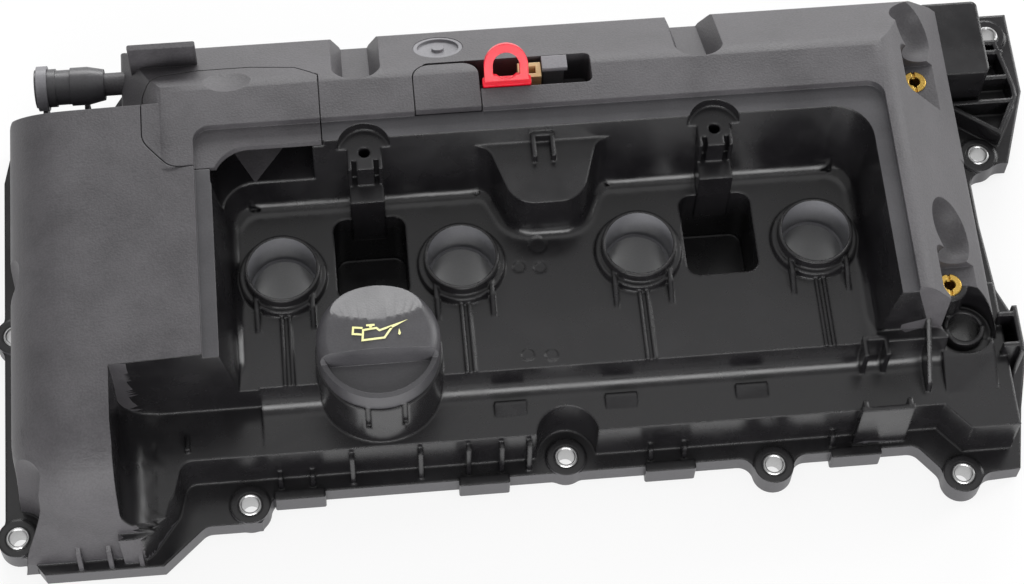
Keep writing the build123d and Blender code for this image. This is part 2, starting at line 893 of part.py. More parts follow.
def bores():
    """Plug tubes in two steps, sleeves, screws, filler, sensor, inserts, vent, port and grooves."""
    with BuildPart() as holes:
        for radius, low in ((tube_lower_r, -through), (tube_bore_r, tube_step_z)):
            with BuildSketch(Plane.XY.offset(low)):
                with Locations(*[(x, 0) for x in tube_x]):
                    Circle(radius)
            extrude(amount=tube_rim_z + through - low)
        with BuildSketch(Plane.XY.offset(-through)):
            with Locations(*bosses):
                Circle(sleeve_r)
            with Locations((sensor_x, sensor_y)):
                Circle(sensor_bore_r)
        extrude(amount=sensor_z + 2 * through)
        with BuildSketch(Plane.XY.offset(tower_z - tower_screw_depth)):
            with Locations(*[(x, tower_screw_y) for x in pocket_x]):
                Circle(tower_screw_r)
        extrude(amount=tower_screw_depth + through)
        with BuildSketch(Plane.XY.offset(terrace_z - wall - through)):
            with Locations((filler_x, filler_y)):
                Circle(neck_bore_r)
        extrude(amount=neck_z - terrace_z + wall + 2 * through)
        for x, y, z in inserts:
            with BuildSketch(Plane.XY.offset(z - insert_h)):
                with Locations((x, y)):
                    Circle(insert_r)
            extrude(amount=20)
        with BuildSketch(Plane.XY.offset(-through)):
            with Locations((corner_room_x, corner_room_y)):
                RectangleRounded(corner_room_w, corner_room_d, rib_t)
        extrude(amount=corner_plate_z - wall + through)
        for x, y, r in marks:
            with BuildSketch(Plane.XY.offset(deck_z - mark_depth)):
                with Locations((x, y)):
                    Circle(r)
            extrude(amount=wall)
        with BuildSketch(vent_plane.offset(-4)):
            Circle(vent_r)
        extrude(amount=10)
        with BuildSketch(vent_plane.offset(-14)):
            Circle(vent_r - 2)
        extrude(amount=12)
        with BuildSketch(Plane.YZ.offset(port_left_x - through)):
            with Locations((port_y, port_z)):
                Circle(port_bore_r)
        extrude(amount=hood_left_x - port_left_x + 8)
        with BuildSketch(Plane.XY.offset(-through)):
            add(footprint(gasket_in))
            add(footprint(gasket_in + gasket_w), mode=Mode.SUBTRACT)
        extrude(amount=gasket_h + through)
        with BuildSketch(Plane.XY.offset(baffle_z)):
            with Locations(*baffle_posts):
                Circle(baffle_screw_r - 0.2)
        extrude(amount=baffle_screw_h)
        with BuildSketch(Plane.XY.offset(-through)):
            with Locations(*[(x, 0) for x in tube_x]):
                Circle(seal_r + seal_w / 2)
                Circle(seal_r - seal_w / 2, mode=Mode.SUBTRACT)
        extrude(amount=seal_h + through)
    return holes.part


# Space inside the housing
with BuildPart() as cavity:
    add(housing(wall, flange_t))
    with BuildSketch(Plane.XY.offset(-through)):
        add(footprint(flange_lip))
    extrude(amount=flange_t + 2 * through)
    add(hollows(wall), mode=Mode.SUBTRACT)
    add(lid_skin(lid_t + wall + slide_gap), mode=Mode.SUBTRACT)
    add(posts(), mode=Mode.SUBTRACT)

# Cover body: one moulding
with BuildPart() as cover_body:
    add(flange())
    add(housing())
    add(cavity.part, mode=Mode.SUBTRACT)
    add(hollows(), mode=Mode.SUBTRACT)
    add(lid_skin(lid_t + slide_gap), mode=Mode.SUBTRACT)
    add(tube_tops())
    add(coil_towers())
    add(neck_and_ports())
    add(edge_details())
    add(right_end_box())
    add(bores(), mode=Mode.SUBTRACT)
cover_body.part.label = "cover_body"
export_step(cover_body.part, "parts/cover_body.step")


def ring(inner, outer, low, high, spots):
    """Plain rings standing on Z at the given spots."""
    with BuildPart() as rings:
        with BuildSketch(Plane.XY.offset(low)):
            with Locations(*spots):
                Circle(outer)
                Circle(inner, mode=Mode.SUBTRACT)
        extrude(amount=high - low)
    return rings.part


# Perimeter gasket in the flange's groove
with BuildPart() as perimeter_gasket:
    with BuildSketch():
        add(footprint(gasket_in + fit_gap))
        add(footprint(gasket_in + gasket_w - fit_gap), mode=Mode.SUBTRACT)
    extrude(amount=gasket_h - fit_gap)
perimeter_gasket.part.label = "perimeter_gasket"
export_step(perimeter_gasket.part, "parts/perimeter_gasket.step")

# Plug tube seals
for number, x in enumerate(tube_x, 1):
    with BuildPart() as plug_seal:
        low_r = seal_r - seal_w / 2 + fit_gap
        high_r = seal_r + seal_w / 2 - fit_gap
        add(ring(low_r, high_r, 0, seal_h - fit_gap, [(x, 0)]))
    plug_seal.part.label = f"plug_tube_seal_{number}"
    export_step(plug_seal.part, f"parts/plug_tube_seal_{number}.step")

# Compression sleeves, one in each screw boss
sleeve_rows = {"front": front_bosses, "right": right_bosses, "back": back_bosses, "left": left_bosses}
for row, spots in sleeve_rows.items():
    for number, spot in enumerate(spots, 1):
        with BuildPart() as sleeve:
            add(ring(sleeve_bore_r, sleeve_r, 0, boss_h + 0.5, [spot]))
            rim = sleeve.faces().sort_by(Axis.Z)[-1]
            chamfer(rim.edges(), 0.5)
        sleeve.part.label = f"sleeve_{row}_{number}"
        export_step(sleeve.part, f"parts/sleeve_{row}_{number}.step")

# Threaded brass inserts with a driver slot
for number, (x, y, z) in enumerate(inserts, 1):
    with BuildPart() as insert:
        add(ring(insert_bore_r, insert_r, z - insert_h, z + 0.6, [(x, y)]))
        chamfer(insert.faces().sort_by(Axis.Z)[-1].edges(), 0.4)
        with BuildSketch(Plane.XY.offset(z - 1)):
            with Locations((x, y)):
                Rectangle(1.6, 3 * insert_r)
        extrude(amount=3, mode=Mode.SUBTRACT)
    insert.part.label = f"threaded_insert_{number}"
    export_step(insert.part, f"parts/threaded_insert_{number}.step")

# Oil filler cap: round body on the neck, hollow plug with a groove for its seal, and the grip bar
cap_plane = Plane(origin=(filler_x, filler_y, 0), x_dir=(1, 0, 0), z_dir=(0, -1, 0))
cap_skirt_z = neck_z + slide_gap
with BuildPart() as oil_filler_cap:
    with BuildSketch(cap_plane):
        with BuildLine():
            Polyline(
                (0, cap_skirt_z + cap_wall_t), (cap_plug_r - 2 - cap_wall_t, cap_skirt_z + cap_wall_t),
                (cap_plug_r - 2 - cap_wall_t, cap_plug_z), (cap_plug_r, cap_plug_z),
                (cap_plug_r, cap_seal_z - 2), (cap_plug_r - 2, cap_seal_z - 2),
                (cap_plug_r - 2, cap_seal_z + 2), (cap_plug_r, cap_seal_z + 2),
                (cap_plug_r, cap_skirt_z), (cap_r, cap_skirt_z), (cap_r, cap_shoulder_z),
            )
            ThreePointArc(
                (cap_r, cap_shoulder_z), (cap_r - 1.5, cap_shoulder_z + 2.5), (cap_r - 5, cap_top_z - 2)
            )
            Polyline((cap_r - 5, cap_top_z - 2), (0, cap_top_z), (0, cap_skirt_z + cap_wall_t))
        make_face()
    revolve(axis=Axis((filler_x, filler_y, 0), (0, 0, 1)))
    with BuildSketch(Plane.YZ.offset(filler_x - cap_r - 1)):
        with BuildLine():
            Polyline(
                (filler_y + grip_back, cap_top_z - 0.5), (filler_y + cap_r, cap_back_z),
                (filler_y + cap_r + 1, cap_top_z + 1), (filler_y + grip_back, cap_top_z + 1), close=True,
            )
        make_face()
    extrude(amount=2 * cap_r + 2, mode=Mode.SUBTRACT)
    with BuildSketch(Plane.YZ.offset(filler_x - cap_r - 1)):
        with BuildLine():
            Polyline(
                (filler_y + grip_front, cap_top_z + 1), (filler_y + grip_foot, cap_rim_z),
                (filler_y - cap_r - 1, cap_rim_z), (filler_y - cap_r - 1, cap_top_z + 1), close=True,
            )
        make_face()
    extrude(amount=2 * cap_r + 2, mode=Mode.SUBTRACT)
    with BuildPart(mode=Mode.SUBTRACT) as scoop:
        with BuildSketch(Plane.XY.offset(cap_scoop_z)):
            with Locations((filler_x, filler_y)):
                Circle(cap_rim_r)
                with Locations((0, grip_foot + cap_r)):
                    Rectangle(3 * cap_r, 2 * cap_r, mode=Mode.SUBTRACT)
        extrude(amount=cap_top_z - cap_scoop_z, taper=-12)
oil_filler_cap.part.label = "oil_filler_cap"
export_step(oil_filler_cap.part, "parts/oil_filler_cap.step")

with BuildPart() as cap_seal:
    with BuildSketch(cap_plane):
        with Locations((cap_plug_r, cap_seal_z)):
            RegularPolygon(cap_seal_wire_r, 8, major_radius=False)
    revolve(axis=Axis((filler_x, filler_y, 0), (0, 0, 1)))
cap_seal.part.label = "cap_seal"
export_step(cap_seal.part, "parts/cap_seal.step")

# Lids: the skin of the hood inside each outline
with BuildPart() as lid_shell:
    add(housing())
    add(well(), mode=Mode.SUBTRACT)
    add(arches(), mode=Mode.SUBTRACT)
    with BuildSketch(Plane.XY.offset(60)):
        add(hatch_outline(lid_gap))
        add(small_hatch_outline(lid_gap))
    extrude(amount=sky_z - 60, mode=Mode.INTERSECT)
    add(lid_core(lid_t), mode=Mode.SUBTRACT)
lids = lid_shell.part.solids().sort_by(Axis.X)
with BuildPart() as access_hatch:
    add(lids[0])
    scoop_z = slope_height(finger_y) + finger_r - finger_depth
    with Locations((finger_x, finger_y + 6, scoop_z + 2)):
        Sphere(finger_r, mode=Mode.SUBTRACT)
access_hatch.part.label = "access_hatch"
export_step(access_hatch.part, "parts/access_hatch.step")
with BuildPart() as small_hatch:
    add(lids[-1])
small_hatch.part.label = "small_hatch"
export_step(small_hatch.part, "parts/small_hatch.step")

# Red retaining clip: a leaning loop on a foot, with a tongue down into the window
loop_plane = Plane(origin=(clip_x, clip_y, clip_z), x_dir=(1, 0, 0), z_dir=(0, -1, 1))
with BuildPart() as retaining_clip:
    with BuildSketch(loop_plane):
        with Locations((0, clip_h - clip_w / 2)):
            Circle(clip_w / 2)
        with Locations((0, (clip_h - clip_w / 2) / 2)):
            Rectangle(clip_w, clip_h - clip_w / 2)
        with Locations((0, clip_h - clip_w / 2)):
            Circle(clip_w / 2 - clip_band, mode=Mode.SUBTRACT)
        with Locations((0, (clip_h - clip_w / 2 + clip_band) / 2)):
            Rectangle(clip_w - 2 * clip_band, clip_h - clip_w / 2 - clip_band, mode=Mode.SUBTRACT)
    extrude(amount=clip_t)
    with BuildSketch(Plane.XY.offset(clip_z - 1)):
        with Locations((clip_x, clip_y - 1)):
            RectangleRounded(clip_w + 2, 5, 1)
    extrude(amount=4)
    with BuildSketch(Plane.XY.offset(window_bay_z + slide_gap)):
        with Locations((clip_x, window_front_y + slide_gap + clip_tongue_t / 2)):
            Rectangle(clip_w - 8, clip_tongue_t)
    extrude(amount=clip_z - window_bay_z)
retaining_clip.part.label = "retaining_clip"
export_step(retaining_clip.part, "parts/retaining_clip.step")

# Connector block and latch on the window's floor
with BuildPart() as connector_block:
    with BuildSketch(Plane.XY.offset(window_bay_z)):
        with Locations((-3, 82)):
            Rectangle(11, 8)
    extrude(amount=22)
    with BuildSketch(Plane.XY.offset(window_bay_z + 14)):
        with Locations((-3, 82)):
            Rectangle(6, 4)
    extrude(amount=10, mode=Mode.SUBTRACT)
connector_block.part.label = "connector_block"
export_step(connector_block.part, "parts/connector_block.step")

with BuildPart() as latch_post:
    with BuildSketch(Plane.XY.offset(window_bay_z)):
        with Locations((9, window_back_y - 3)):
            Rectangle(10, 4)
    extrude(amount=24)
    with BuildSketch(Plane.XY.offset(window_bay_z + 21)):
        with Locations((9, window_back_y - 4.5)):
            Rectangle(12, 7)
    extrude(amount=3)
latch_post.part.label = "latch_post"
export_step(latch_post.part, "parts/latch_post.step")

# Vent cap in the back slope
with BuildPart() as vent_cap:
    with BuildSketch(vent_plane.offset(-4)):
        Circle(vent_r - fit_gap)
    extrude(amount=2.4)
    with BuildSketch(vent_plane.offset(-1.6)):
        Circle(vent_r - fit_gap)
        Circle(vent_r - 2, mode=Mode.SUBTRACT)
        Circle(3)
    extrude(amount=1.4)
vent_cap.part.label = "vent_cap"
export_step(vent_cap.part, "parts/vent_cap.step")

# Oil separator baffle with its drain slots and screws
baffle_low = baffle_z - baffle_t
with BuildPart() as separator_baffle:
    with BuildSketch(Plane.XY.offset(baffle_low)):
        with Locations(((baffle_left_x + baffle_right_x) / 2, (baffle_front_y + baffle_back_y) / 2)):
            RectangleRounded(baffle_right_x - baffle_left_x, baffle_back_y - baffle_front_y, 5)
        with Locations(*baffle_posts):
            Circle(baffle_screw_r + slide_gap, mode=Mode.SUBTRACT)
        with Locations((valve_x, valve_y)):
            Circle(plunger_r + 1.5, mode=Mode.SUBTRACT)
        with GridLocations(22, 0, 5, 1):
            with Locations((90, 90)):
                SlotOverall(24, 4, rotation=90, mode=Mode.SUBTRACT)
    extrude(amount=baffle_t)
    with BuildSketch(Plane.XY.offset(baffle_low)):
        with Locations(((baffle_left_x + baffle_right_x) / 2, baffle_front_y + rib_t / 2)):
            Rectangle(baffle_right_x - baffle_left_x - 14, rib_t)
    extrude(amount=deck_z - wall - slide_gap - baffle_low)
separator_baffle.part.label = "separator_baffle"
export_step(separator_baffle.part, "parts/separator_baffle.step")

with BuildPart() as baffle_screws:
    with BuildSketch(Plane.XY.offset(baffle_low)):
        with Locations(*baffle_posts):
            Circle(baffle_screw_r - 0.25)
    extrude(amount=baffle_t + baffle_screw_h - 1)
    with BuildSketch(Plane.XY.offset(baffle_low)):
        with Locations(*baffle_posts):
            Circle(2 * baffle_screw_r)
    extrude(amount=-2.4)
baffle_screws.part.label = "baffle_screws"
export_step(baffle_screws.part, "parts/baffle_screws.step")

# Crankcase pressure valve on the baffle: cup, lid, diaphragm with plunger, and spring
with BuildPart() as valve_cup:
    add(ring(plunger_r + 1.5, valve_r, baffle_z, baffle_z + valve_wall, [(valve_x, valve_y)]))
    add(ring(valve_r - valve_wall, valve_r, baffle_z, baffle_z + valve_h, [(valve_x, valve_y)]))
valve_cup.part.label = "valve_cup"
export_step(valve_cup.part, "parts/valve_cup.step")

with BuildPart() as valve_lid:
    add(ring(3, valve_r, baffle_z + valve_h, baffle_z + valve_h + valve_wall, [(valve_x, valve_y)]))
valve_lid.part.label = "valve_lid"
export_step(valve_lid.part, "parts/valve_lid.step")

with BuildPart() as valve_diaphragm:
    with BuildSketch(Plane.XY.offset(diaphragm_z)):
        with Locations((valve_x, valve_y)):
            Circle(valve_r - valve_wall - slide_gap)
    extrude(amount=diaphragm_t)
    with BuildSketch(Plane.XY.offset(baffle_z + valve_wall + 4)):
        with Locations((valve_x, valve_y)):
            Circle(plunger_r)
    extrude(amount=diaphragm_z - baffle_z - valve_wall - 4)
valve_diaphragm.part.label = "valve_diaphragm"
export_step(valve_diaphragm.part, "parts/valve_diaphragm.step")

spring_low = baffle_z + valve_wall + spring_wire_r
spring_high = diaphragm_z - spring_wire_r
spring_pitch = (spring_high - spring_low) / spring_turns
with BuildPart() as valve_spring:
    with BuildLine():
        helix = Helix(spring_pitch, spring_high - spring_low, spring_r, center=(valve_x, valve_y, spring_low))
    with BuildSketch(Plane(origin=helix @ 0, z_dir=helix % 0)):
        RegularPolygon(spring_wire_r, 6)
    sweep()
valve_spring.part.label = "valve_spring"
export_step(valve_spring.part, "parts/valve_spring.step")

# Breather hose coupling on the port, with its lock ring and seal
port_plane = Plane(origin=(0, port_y, port_z), x_dir=(1, 0, 0), z_dir=(0, -1, 0))
port_axis = Axis((0, port_y, port_z), (1, 0, 0))
with BuildPart() as hose_coupling:
    with BuildSketch(port_plane):
        with BuildLine():
            Polyline(
                (coupling_left_x, coupling_mouth_r), (port_left_x - 1, coupling_mouth_r),
                (port_left_x - 1, port_r + slide_gap), (port_seal_x - 1, port_r + slide_gap),
                (port_seal_x - 1, port_seal_r + 1), (port_seal_x + 1, port_seal_r + 1),
                (port_seal_x + 1, port_r + slide_gap), (coupling_right_x, port_r + slide_gap),
                (coupling_right_x, port_r + 2), (coupling_cone_x, coupling_r), (-222, coupling_r),
                (-222, coupling_r - 0.8), (-229, coupling_r - 0.8), (-229, coupling_r),
                (coupling_left_x, coupling_r), close=True,
            )
        make_face()
    revolve(axis=port_axis)
hose_coupling.part.label = "hose_coupling"
export_step(hose_coupling.part, "parts/hose_coupling.step")

with BuildPart() as lock_ring:
    with BuildSketch(Plane.YZ.offset(coupling_left_x + 1)):
        with Locations((port_y, port_z)):
            Circle(lock_ring_r)
            Circle(coupling_r + fit_gap, mode=Mode.SUBTRACT)
            with Locations((0, -lock_ring_r)):
                Rectangle(8, 8, mode=Mode.SUBTRACT)
    extrude(amount=lock_ring_w)
lock_ring.part.label = "lock_ring"
export_step(lock_ring.part, "parts/lock_ring.step")

with BuildPart() as port_seal:
    with BuildSketch(port_plane):
        with Locations((port_seal_x, port_seal_r)):
            RegularPolygon(port_seal_wire_r, 8, major_radius=False)
    revolve(axis=port_axis)
port_seal.part.label = "port_seal"
export_step(port_seal.part, "parts/port_seal.step")
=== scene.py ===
# %% [markdown]
# # Plastic valve cover of a four-cylinder engine
# The solids come from the CAD model and stay where they are. This notebook dresses them: it
# rolls the forms that catch the light, gives each finish its material, paints the symbol on the
# cap, and sets up soft studio light at the viewing angle of the photograph.

# %% Load the frame
import bmesh
import bpy
import json
import math
import numpy as np
from mathutils import Matrix


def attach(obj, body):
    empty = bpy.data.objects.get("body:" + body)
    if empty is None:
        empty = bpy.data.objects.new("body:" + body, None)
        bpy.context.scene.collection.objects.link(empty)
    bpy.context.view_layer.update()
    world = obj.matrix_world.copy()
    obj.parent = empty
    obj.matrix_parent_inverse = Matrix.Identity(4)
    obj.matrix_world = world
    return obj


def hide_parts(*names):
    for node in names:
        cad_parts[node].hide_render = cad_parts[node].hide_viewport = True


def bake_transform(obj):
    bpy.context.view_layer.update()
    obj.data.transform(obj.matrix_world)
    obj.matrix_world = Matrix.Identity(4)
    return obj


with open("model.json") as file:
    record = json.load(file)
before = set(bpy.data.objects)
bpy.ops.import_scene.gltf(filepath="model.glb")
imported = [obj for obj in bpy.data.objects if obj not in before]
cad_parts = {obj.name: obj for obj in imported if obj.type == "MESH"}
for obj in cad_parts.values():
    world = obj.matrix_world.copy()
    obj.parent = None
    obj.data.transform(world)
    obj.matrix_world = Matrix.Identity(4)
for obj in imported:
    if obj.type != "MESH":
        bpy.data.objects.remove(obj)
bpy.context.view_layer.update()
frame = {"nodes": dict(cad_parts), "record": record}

cad_nodes = frame["nodes"]
mm = 0.001

# %% [markdown]
# ## Camera
# The photograph looks down on the cover from the front, a little from the left and a little
# rolled. Angles, aim and distance were found once from the four evenly spaced plug tubes and the
# sleeves in the flange, and are kept here as plain values.

# %% Set the camera
turn, height_angle, roll = math.radians(-7.474), math.radians(62.78), math.radians(2.511)
aim = np.array([-19.727, -17.969, 60.0]) * mm
distance = 1217.7 * mm
focal_px, frame_px = 2600.0, 1024.0

backward = np.array([
    math.sin(turn) * math.cos(height_angle),
    -math.cos(turn) * math.cos(height_angle),
    math.sin(height_angle),
])
level = np.cross(-backward, [0, 0, 1])
level /= np.linalg.norm(level)
upward = np.cross(level, -backward)
right = level * math.cos(roll) + upward * math.sin(roll)
up = upward * math.cos(roll) - level * math.sin(roll)

camera_data = bpy.data.cameras.new("camera")
camera_data.sensor_width = 36
camera_data.lens = focal_px / frame_px * camera_data.sensor_width
camera_data.clip_start = 10 * mm
camera = bpy.data.objects.new("camera", camera_data)
placed = np.eye(4)
placed[:3, 0], placed[:3, 1], placed[:3, 2] = right, up, backward
placed[:3, 3] = aim + backward * distance
camera.matrix_world = Matrix(placed.tolist())
bpy.context.scene.collection.objects.link(camera)
bpy.context.scene.camera = camera
print("camera at", np.round(placed[:3, 3], 3))

# %% [markdown]
# ## Helpers for materials
# Every material is a small network of nodes. One function adds a node with its settings and its
# links, so each network reads as a list. Colours are written as they are seen on a screen and
# turned to linear light by one function.

# %% Define the material helpers
def linear(colour):
    """Screen colour as hex to linear light: the sRGB curve undone for each of the three parts."""
    screen = np.array([int(colour[i:i + 2], 16) / 255 for i in (1, 3, 5)])
    light = np.where(screen <= 0.04045, screen / 12.92, ((screen + 0.055) / 1.055) ** 2.4)
    return (*light, 1.0)


def node(tree, kind, settings=None, **links):
    """Adds one node. settings are its own fields, and links give each input a value or a socket.

    A link called i and a number goes to the input of that number. Any other goes to the input of
    its name, with underscores for spaces.
    """
    made = tree.nodes.new("ShaderNode" + kind)
    for name, value in (settings or {}).items():
        setattr(made, name, value)
    for name, value in links.items():
        key = int(name[1:]) if name[0] == "i" and name[1:].isdigit() else name.replace("_", " ")
        if isinstance(value, bpy.types.NodeSocket):
            tree.links.new(value, made.inputs[key])
        else:
            made.inputs[key].default_value = value
    return made


def start_material(name):
    """Empty material with its output node."""
    material = bpy.data.materials.new(name)
    material.use_nodes = True
    material.node_tree.nodes.clear()
    return material, material.node_tree, material.node_tree.nodes.new("ShaderNodeOutputMaterial")


print("#808080 in linear light:", np.round(linear("#808080"), 3))

# %% [markdown]
# ## Nylon of the cover
# The cover is glass-filled nylon, injection moulded. Where the tool was spark eroded, the skin is
# grained: matte, a warm dark grey, with a fine sparkle from grains of about 0.3 mm. Where the tool
# was polished, the same nylon is near black and shines, with faint cloudy marks where the melt
# flowed. The grain is drawn at 1 mm, coarser than it is, because finer grain would not show.

# %% Make the skins of the nylon
grain_size, grain_height = 1.0 * mm, 0.3 * mm
flow_size = 28 * mm
flow_low, flow_high = 0.35, 0.65
tone_low, tone_high = 0.55, 0.95
grain_in_tone = 0.5
moulded_edge = 0.6 * mm
nylon_ior = 1.53
bevel_rays = 6


def nylon(name, dark, light, rough_low, rough_high, grain_depth, edge=moulded_edge):
    """Moulded nylon: clouds mix two tones and two gloss levels, and fine noise is the grain."""
    material, tree, output = start_material(name)
    place = node(tree, "TexCoord").outputs["Object"]
    clouds = node(tree, "TexNoise", Vector=place, Scale=1 / flow_size, Detail=5.0, Roughness=0.6)
    grain = node(tree, "TexNoise", Vector=place, Scale=1 / grain_size, Detail=2.0, Roughness=0.5)
    speckle = node(tree, "Math", {"operation": "MULTIPLY_ADD"},
                   i0=grain.outputs["Fac"], i1=grain_in_tone, i2=clouds.outputs["Fac"])
    tone = node(tree, "MapRange", Value=speckle.outputs[0], From_Min=tone_low, From_Max=tone_high)
    colour = node(tree, "Mix", {"data_type": "RGBA"},
                  i0=tone.outputs[0], i6=linear(dark), i7=linear(light))
    gloss = node(tree, "MapRange", Value=clouds.outputs["Fac"], From_Min=flow_low,
                 From_Max=flow_high, To_Min=rough_low, To_Max=rough_high)
    rolled = node(tree, "Bevel", {"samples": bevel_rays}, Radius=edge)
    bump = node(tree, "Bump", Height=grain.outputs["Fac"], Strength=grain_depth,
                Distance=grain_height, Normal=rolled.outputs[0])
    skin = node(tree, "BsdfPrincipled", Base_Color=colour.outputs[2], Roughness=gloss.outputs[0],
                IOR=nylon_ior, Normal=bump.outputs[0])
    tree.links.new(skin.outputs[0], output.inputs[0])
    return material


# Spark-eroded tool: matte, with a speckle of grain
grained_nylon = nylon("nylon_grained", "#3a383b", "#4e4c4f", 0.5, 0.6, 0.6)
# Polished tool: near black and shining, with wide soft highlights along its rolled edges
polished_nylon = nylon("nylon_polished", "#141315", "#1d1c1e", 0.2, 0.32, 0.02, 1.8 * mm)
# Blasted tool: half matte, so rims and caps stand out from the polished deck
satin_nylon = nylon("nylon_satin", "#3a393c", "#464548", 0.34, 0.44, 0.2)
# Bores drawn off long steel cores, smooth; their pale grey is painted reflection of the white room
bore_reflection_nylon = nylon("nylon_tube_painted_reflection", "#6e6e72", "#7a7a7e", 0.3, 0.4, 0.05)
# Parts under the hood, from tools that nobody polished: dull and dark
inner_nylon = nylon("nylon_inner", "#262527", "#2e2d2f", 0.4, 0.5, 0.1)
# Dyed grey nylon of the latch: flat and matte
grey_nylon = nylon("nylon_grey", "#6c6b6f", "#7f7e82", 0.4, 0.5, 0.2)
# Undyed nylon of the connector block: the yellowish tone of the plain resin
natural_nylon = nylon("nylon_natural", "#b89b6a", "#d3b888", 0.4, 0.5, 0.15)
# Dyed acetal of the clip: a strong even red with a smooth gloss
red_acetal = nylon("acetal_red", "#e01028", "#f0203a", 0.22, 0.3, 0.03)
print("nylon skins ready:", grained_nylon.name, polished_nylon.name, "and six more")

# %% [markdown]
# ## Rubber and metals
# The seals are moulded acrylate rubber, black and dull. The sleeves are cut from zinc-plated tube,
# so they are light grey with fine turning marks on the rim. The inserts are turned brass. Metals
# keep the default refraction and differ by colour and roughness.

# %% Make rubber and metals
mark_stretch = (1.0, 1.0, 6.0)
mark_low, mark_high = 0.3, 0.7
mark_depth, mark_height = 0.15, 0.05 * mm
cut_edge = 0.3 * mm

# Moulded acrylate rubber: black, and dull from the bloom on its skin
seal_rubber = nylon("rubber_seal", "#191818", "#222121", 0.6, 0.7, 0.2)


def metal(name, dark, light, rough_low, rough_high, mark_size):
    """Bare metal: stretched noise gives turning marks in tone and in gloss."""
    material, tree, output = start_material(name)
    place = node(tree, "TexCoord").outputs["Object"]
    marks = node(tree, "Mapping", Vector=place, Scale=mark_stretch)
    streaks = node(tree, "TexNoise", Vector=marks.outputs[0], Scale=1 / mark_size, Detail=3.0)
    colour = node(tree, "Mix", {"data_type": "RGBA"},
                  i0=streaks.outputs["Fac"], i6=linear(dark), i7=linear(light))
    gloss = node(tree, "MapRange", Value=streaks.outputs["Fac"], From_Min=mark_low,
                 From_Max=mark_high, To_Min=rough_low, To_Max=rough_high)
    rolled = node(tree, "Bevel", {"samples": bevel_rays}, Radius=cut_edge)
    bump = node(tree, "Bump", Height=streaks.outputs["Fac"], Strength=mark_depth,
                Distance=mark_height, Normal=rolled.outputs[0])
    skin = node(tree, "BsdfPrincipled", Base_Color=colour.outputs[2], Roughness=gloss.outputs[0],
                Metallic=1.0, Normal=bump.outputs[0])
    tree.links.new(skin.outputs[0], output.inputs[0])
    return material


# Zinc-plated steel tube, cut off: light grey with a soft shine
zinc_plate = metal("zinc_plate", "#a8a8a8", "#dcdcdc", 0.28, 0.42, 1.2 * mm)
# Turned brass: yellow, with a brighter shine from the sharp tool
turned_brass = metal("brass_turned", "#c89c42", "#ecc870", 0.2, 0.32, 0.8 * mm)
# Drawn spring wire: darker grey and smooth
spring_steel = metal("steel_spring", "#8c8c8a", "#bcbcb8", 0.25, 0.35, 1.0 * mm)
print("rubber and metals:", seal_rubber.name, zinc_plate.name, turned_brass.name, spring_steel.name)

# %% [markdown]
# ## Skins of the CAD nodes
# No moulded edge is sharp: each has a small radius, which shows as a thin bright line in soft
# light. The materials round the shading of every edge by that radius. The CAD meshes are loose
# triangles, so a copy of each is welded, and shading is weighted by area within a crease angle:
# flat faces stay flat and rolled ones stay smooth.

# %% Copy and refine a mesh
weld_gap = 0.02 * mm
most_rounds, spots_per_edge = 8, 9


def welded_copy(name):
    """Mesh copy of a CAD node with its doubles merged."""
    source = cad_nodes[name]
    work = bmesh.new()
    work.from_mesh(source.data)
    bmesh.ops.remove_doubles(work, verts=work.verts, dist=weld_gap)
    mesh = bpy.data.meshes.new(name + "_skin")
    work.to_mesh(mesh)
    work.free()
    return mesh


def vertex_places(mesh):
    """Places of all vertices as one array, in mm."""
    places = np.empty(len(mesh.vertices) * 3)
    mesh.vertices.foreach_get("co", places)
    return places.reshape(-1, 3) / mm


def refine(mesh, regions):
    """Halves the edges that touch a region until none is longer there than the region allows.

    An edge touches a region if one of a few even spots along it lies inside.
    """
    for _ in range(most_rounds):
        places = vertex_places(mesh)
        ends = np.empty(len(mesh.edges) * 2, np.int32)
        mesh.edges.foreach_get("vertices", ends)
        first, last = places[ends[0::2]], places[ends[1::2]]
        length = np.linalg.norm(last - first, axis=1)
        too_long = np.zeros(len(first), bool)
        for inside, longest in regions:
            tried = np.nonzero(length > longest)[0]
            for share in np.linspace(0, 1, spots_per_edge):
                too_long[tried] |= inside(first[tried] + (last[tried] - first[tried]) * share)
        chosen = np.nonzero(too_long)[0]
        if not len(chosen):
            break
        work = bmesh.new()
        work.from_mesh(mesh)
        work.edges.ensure_lookup_table()
        bmesh.ops.subdivide_edges(work, edges=[work.edges[i] for i in chosen], cuts=1)
        bmesh.ops.triangulate(work, faces=[f for f in work.faces if len(f.verts) > 3])
        work.to_mesh(mesh)
        work.free()


body_mesh = welded_copy("cover_body")
print("cover body welded:", len(body_mesh.vertices), "vertices")

# %% [markdown]
# ## Shading and placing a piece
# A normal for each corner of each face says how light falls on it. It is worked out here for all
# corners at once. A piece then takes its materials, rides on its body and stands for its CAD node.

# %% Define shading and placing
crease = math.radians(28)


